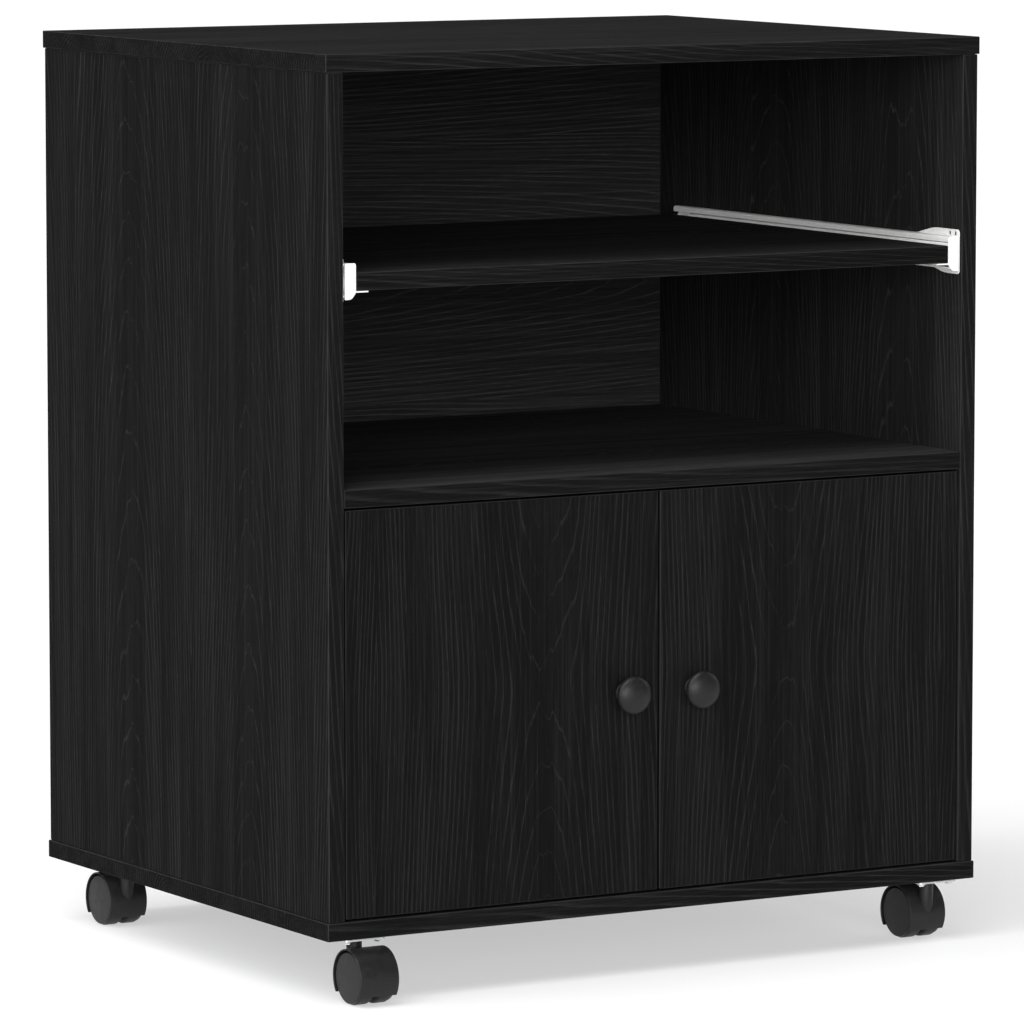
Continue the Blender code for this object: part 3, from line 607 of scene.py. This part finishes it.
# Slides


def roller_pin(node, *ends):
    """The pin that a slide's roller turns on, between two X values."""
    roller = middle(node)
    return rod(ROLLER_PIN, *sorted(ends), "X", (0, roller.y, roller.z), 24)


def cabinet_rail(name, side):
    """A bent channel on the side panel, with its flared front plate, screws and the front roller's pin."""
    web, lower, upper = (f"{name}_cabinet_rail{part}" for part in ("", "_lower_flange", "_upper_flange"))
    low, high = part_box(web)
    bottom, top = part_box(lower)[0].z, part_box(upper)[1].z
    wall = high.x if side > 0 else low.x
    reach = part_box(lower)[0].x if side > 0 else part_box(lower)[1].x
    half = STEEL / 2
    centre = wall - side * (half + 0.0001)
    lip = reach + side * half
    lowest, highest = bottom + half, top - half  # the middles of the sheet's two flanges
    path = [(reach, lowest), (centre, lowest), (centre, highest), (lip, highest), (lip, top - 0.0048)]
    channel = extruded(sheet(path, STEEL, 0.0016), "Y", low.y + 0.0004, high.y)
    length, corner = 0.066, 0.0030
    plate = [(0, low.z), (0.35, low.z), (0.70, lowest), (1.4, lowest),
             (1.4, highest), (1, highest), (0.59, high.z), (0, high.z)]
    plate = [(low.y + share * length, z) for share, z in plate]
    outline = rounded(plate, [corner, 0.006, 0.006, 0, 0, 0.006, 0.006, corner])
    near, far = sorted((wall, wall - side * STEEL))
    slots = []
    for y in (low.y + 0.0055, low.y + 0.0140):
        corners = (near - 0.001, y - 0.0018, top + 0.0002), (far + 0.001, y + 0.0018, top + 0.0044)
        slots.append(block(*corners, 0.0008))
    front_plate = carved(extruded(outline, "X", near, far, 0.0003), *slots)
    parts = [channel, front_plate, roller_pin(f"{name}_front_roller", wall, wall - side * 0.0092)]
    for setback in (0.062, 0.190, 0.318):
        place = (wall - side * STEEL, low.y + setback, (bottom + top) / 2)
        parts.append(screw(place, (-side, 0, 0), 0.0034, 0.0006, setback * 900))
    return piece(f"fine_{web}", gathered(*parts), BODY_OF[web], SLOT_OF[web], (web, lower, upper))


def shelf_rail(name, side):
    """A bent angle under the shelf's edge, with its runner flange, front tab and the rear roller's pin."""
    node = f"{name}_shelf_rail"
    low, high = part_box(node)
    shelf_low, shelf_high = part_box("pull_out_shelf")
    edge = (shelf_high.x if side > 0 else shelf_low.x) + side * GAP
    half = STEEL / 2
    under, top = shelf_low.z - GAP, high.z
    runner = edge + side * 0.0097
    ledge = edge - side * 0.0118
    web = edge + side * half
    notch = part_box(f"{name}_rear_roller")[0].y - 0.002  # the runner flange ends here, in front of the roller
    full = [(ledge, under - half), (web, under - half), (web, top - half), (runner, top - half)]
    plain = full[:2] + [(web, top - 0.0022)]
    tab_top, tab_bottom, tab_edge = high.z + 0.0058, under - 0.0068, edge + side * 0.0105
    tab = [(edge, tab_top), (tab_edge, tab_top), (tab_edge, tab_bottom),
           (edge + side * 0.0040, tab_bottom), (edge, under - 0.0012)]
    tab = rounded(tab, [0.0022, 0.001, 0.001, 0.003, 0.001])
    parts = [
        extruded(sheet(full, STEEL, 0.0014), "Y", low.y + 0.0005, notch),
        extruded(sheet(plain, STEEL, 0.0014), "Y", notch, high.y),
        extruded(tab, "Y", low.y, low.y + 0.0009, 0.0002),
        roller_pin(f"{name}_rear_roller", web, edge + side * 0.0099),
    ]
    for setback in (0.045, 0.190, 0.335):
        place = (edge - side * 0.0060, low.y + setback, under - STEEL)
        parts.append(screw(place, (0, 0, -1), 0.0033, 0.0010, setback * 700))
    return in_place_of(node, gathered(*parts))


def roller(node):
    """A nylon roller with a bore, a hub, a dished face and rounded rims."""
    low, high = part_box(node)
    centre = middle(node)
    radius, half = (high.z - low.z) / 2, (high.x - low.x) / 2
    profile = [(0.0026, half), (0.0044, half), (0.0050, half - 0.0006), (radius - 0.0030, half - 0.0006)]
    profile += [(radius - 0.0024, half), *arc((radius - 0.0009, half - 0.0009), 0.0009, 90, 0, 5)]
    mirrored = [(distance, -along) for distance, along in profile[::-1]]
    return in_place_of(node, turned(profile + mirrored, "X", centre, 64))


# Casters


def caster_plate(node):
    """A zinc plate with its four screws, and the collar that the caster turns in."""
    low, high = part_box(node)
    centre = middle(node)
    half = (high.x - low.x) / 2
    bottom = high.z - 0.0015
    square = [(centre.x + x * half, centre.y + y * half) for x, y in CORNERS]
    parts = [extruded(rounded(square, 0.0040), "Z", bottom, high.z, 0.0004)]
    collar = [(0, 0.0415), (0.0038, 0.0415), (0.0038, 0.0503), *arc((0.0063, 0.0508), 0.0005, 270, 360, 3)]
    collar += [*arc((0.0098, 0.0508), (0.0030, bottom - 0.0508), 180, 90, 5), (0, bottom + 0.0003)]
    parts.append(turned(collar, "Z", (centre.x, centre.y, 0), 48))
    spread = 0.014  # of the screws from the middle, along X and along Y
    for number, (x, y) in enumerate(CORNERS):
        place = (centre.x + x * spread, centre.y + y * spread, bottom)
        parts.append(screw(place, (0, 0, -1), 0.0036, 0.0018, 25 + 31 * number))
    return in_place_of(node, gathered(*parts))


def caster_hood(name):
    """A round shell over both wheels, open below, with its web and the boss that turns in the collar."""
    node = f"{name}_hood"
    low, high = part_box(node)
    axle, swivel = middle(f"{name}_axle"), middle(f"{name}_plate")
    radius, half, wall, web = 0.0243, (high.x - low.x) / 2, 0.0012, 0.0019  # web is half its thickness
    room, beyond = radius - wall, 0.03  # each cutter reaches beyond the hood
    rim = [(room, half - 0.0030), *arc((radius - wall / 2, half - wall / 2), wall / 2, 180, 0, 8)]
    half_section = [(0, web), (room, web), *rim]
    section = [(distance, -along) for distance, along in half_section] + half_section[::-1]
    mouth = [(axle.x + end * beyond, axle.y + end * beyond, z) for end, z in ((-1, -0.02), (1, 0.0085))]
    bore = rod(AXLE_BORE, -beyond, beyond, "X", axle, 24)
    shell = carved(turned(section, "X", axle, 128), block(*mouth, 0.001), bore)
    edge = [(0, 0.024), (0.0040, 0.024), (0.0062, 0.030), (0.0065, 0.036)]
    edge += [*arc((0.0058, 0.0493), 0.0007, 0, 90, 4), (0.0044, 0.0500), (0.0044, 0.0410), (0, 0.0410)]
    boss = turned(edge, "Z", (swivel.x, swivel.y, 0), 48)
    inside = rod(radius - wall / 2, -beyond, beyond, "X", axle, 128)
    return in_place_of(node, gathered(shell, carved(boss, inside)))


def caster_wheel(node, side):
    """A wheel with a rounded tread and a slightly domed face."""
    low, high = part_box(node)
    centre = middle(node)
    radius = 0.0225
    inner, outer = (low.x, high.x) if side > 0 else (-high.x, -low.x)  # its faces, along the axle
    profile = [(0, outer), (0.0060, outer - 0.0001), (0.0120, outer - 0.0003), (0.0170, outer - 0.0006)]
    profile += [*arc((radius - 0.0019, outer - 0.0016), 0.0008, 90, 0, 6), (radius - 0.0009, outer - 0.0026)]
    profile += arc((radius - 0.0008, outer - 0.0044), 0.0008, 60, 0, 4)
    profile += arc((radius - 0.0020, inner + 0.0020), 0.0020, 0, -90, 6)
    bore_end = inner + 0.0095
    profile += [(AXLE_BORE, inner), (AXLE_BORE, bore_end), (0, bore_end)]
    profile = [(distance, side * along) for distance, along in profile]
    return in_place_of(node, turned(profile, "X", (0, centre.y, radius - 0.0001), 96))


def fine_pieces():
    for name, side in SIDES.items():
        knob(f"{name}_knob")
        knob_screw(f"{name}_knob_screw")
        strike_plate(f"{name}_strike_plate")
        magnetic_catch(f"{name}_magnetic_catch")
        for place in ("lower", "upper"):
            hinge_cup(f"{name}_{place}_hinge_cup")
            hinge_arm(f"{name}_{place}_hinge_arm", side)
        cabinet_rail(name, side)
        shelf_rail(name, side)
        for end in ("front", "rear"):
            roller(f"{name}_{end}_roller")
            caster = f"{end}_{name}_caster"
            caster_plate(f"{caster}_plate")
            caster_hood(caster)
            frame["nodes"][f"{caster}_axle"].material_slots[0].material = FINISHES["zinc_steel"]
            for wheel_name, wheel_side in SIDES.items():
                caster_wheel(f"{caster}_{wheel_name}_wheel", wheel_side)
    HEAD.free()


# The studio


# Name, strength, and in degrees: its angle, its tilt from overhead and its turn to the left of the front
LAMPS = (
    ("key", 2.6, 50, 21, 74),
    ("front", 1.6, 30, 82, 15),
    ("front_left", 1.2, 30, 80, 40),
    ("left", 1.9, 50, 65, 85),
    ("right", 1.2, 50, 65, -105),
)
SKY = (0.12, 0.04)  # its light in front of the stand and behind it
SKY_TURN = 0.7  # it changes between this far to the front, of 1, and this far to the back
FLOOR_HALF = 40.0
FLOOR_GLOW = 0.50  # light that the floor gives off, which keeps the stand's shadow pale


def sky():
    """White to the camera. As light it is bright in front and above, and dim behind the stand."""
    world = bpy.data.worlds.new("studio")
    world.use_nodes = True
    tree = world.node_tree
    nodes, link = tree.nodes, tree.links.new
    parts = nodes.new("ShaderNodeSeparateXYZ")
    link(nodes.new("ShaderNodeTexCoord").outputs["Generated"], parts.inputs[0])
    falloff = nodes.new("ShaderNodeMapRange")
    for socket, value in zip(falloff.inputs[1:5], (-SKY_TURN, SKY_TURN, *SKY)):
        socket.default_value = value
    link(parts.outputs["Y"], falloff.inputs[0])
    seen = nodes.new("ShaderNodeMix")
    link(nodes.new("ShaderNodeLightPath").outputs["Is Camera Ray"], seen.inputs[0])
    link(falloff.outputs[0], seen.inputs[2])
    seen.inputs[3].default_value = 1.0
    link(seen.outputs[0], nodes["Background"].inputs["Strength"])
    nodes["Background"].inputs["Color"].default_value = (1.0, 1.0, 1.0, 1.0)
    return world


def studio():
    floor = bmesh.new()
    bmesh.ops.create_grid(floor, x_segments=1, y_segments=1, size=FLOOR_HALF)
    mesh = bpy.data.meshes.new("studio_floor")
    floor.to_mesh(mesh)
    floor.free()
    paint = Finish("pale_floor")
    mottle = paint.ramp(paint.even_noise(0.6, 3.0), 0.3, 0.7)
    mesh.materials.append(paint.finished(paint.mix(mottle, grey(0.41), grey(0.43)), 0.9, specular=0.0))
    paint.shader.inputs["Emission Color"].default_value = (1.0, 1.0, 1.0, 1.0)
    paint.shader.inputs["Emission Strength"].default_value = FLOOR_GLOW
    ground = bpy.data.objects.new("studio_floor", mesh)
    bpy.context.scene.collection.objects.link(ground)
    bpy.context.scene.world = sky()
    bpy.context.scene.view_settings.view_transform = "Standard"
    for name, strength, angle, tilt, turn in LAMPS:
        lamp = bpy.data.lights.new(name, "SUN")
        lamp.energy = strength
        lamp.angle = radians(angle)
        light = bpy.data.objects.new(name, lamp)
        light.rotation_euler = (radians(tilt), 0, radians(-turn))
        bpy.context.scene.collection.objects.link(light)


def camera():
    """A long lens far off to the front left, a little above the top panel, as fitted to the photo."""
    lens = bpy.data.cameras.new("camera")
    lens.lens = 246.2
    lens.sensor_width = 36.0
    lens.clip_end = 200.0
    view = bpy.data.objects.new("camera", lens)
    view.location = (-3.069, -5.213, 1.052)
    view.rotation_euler = (radians(90 - 6.451), 0, radians(-30.473))
    bpy.context.scene.collection.objects.link(view)
    bpy.context.scene.camera = view


finish_boards()
fine_pieces()
studio()
camera()
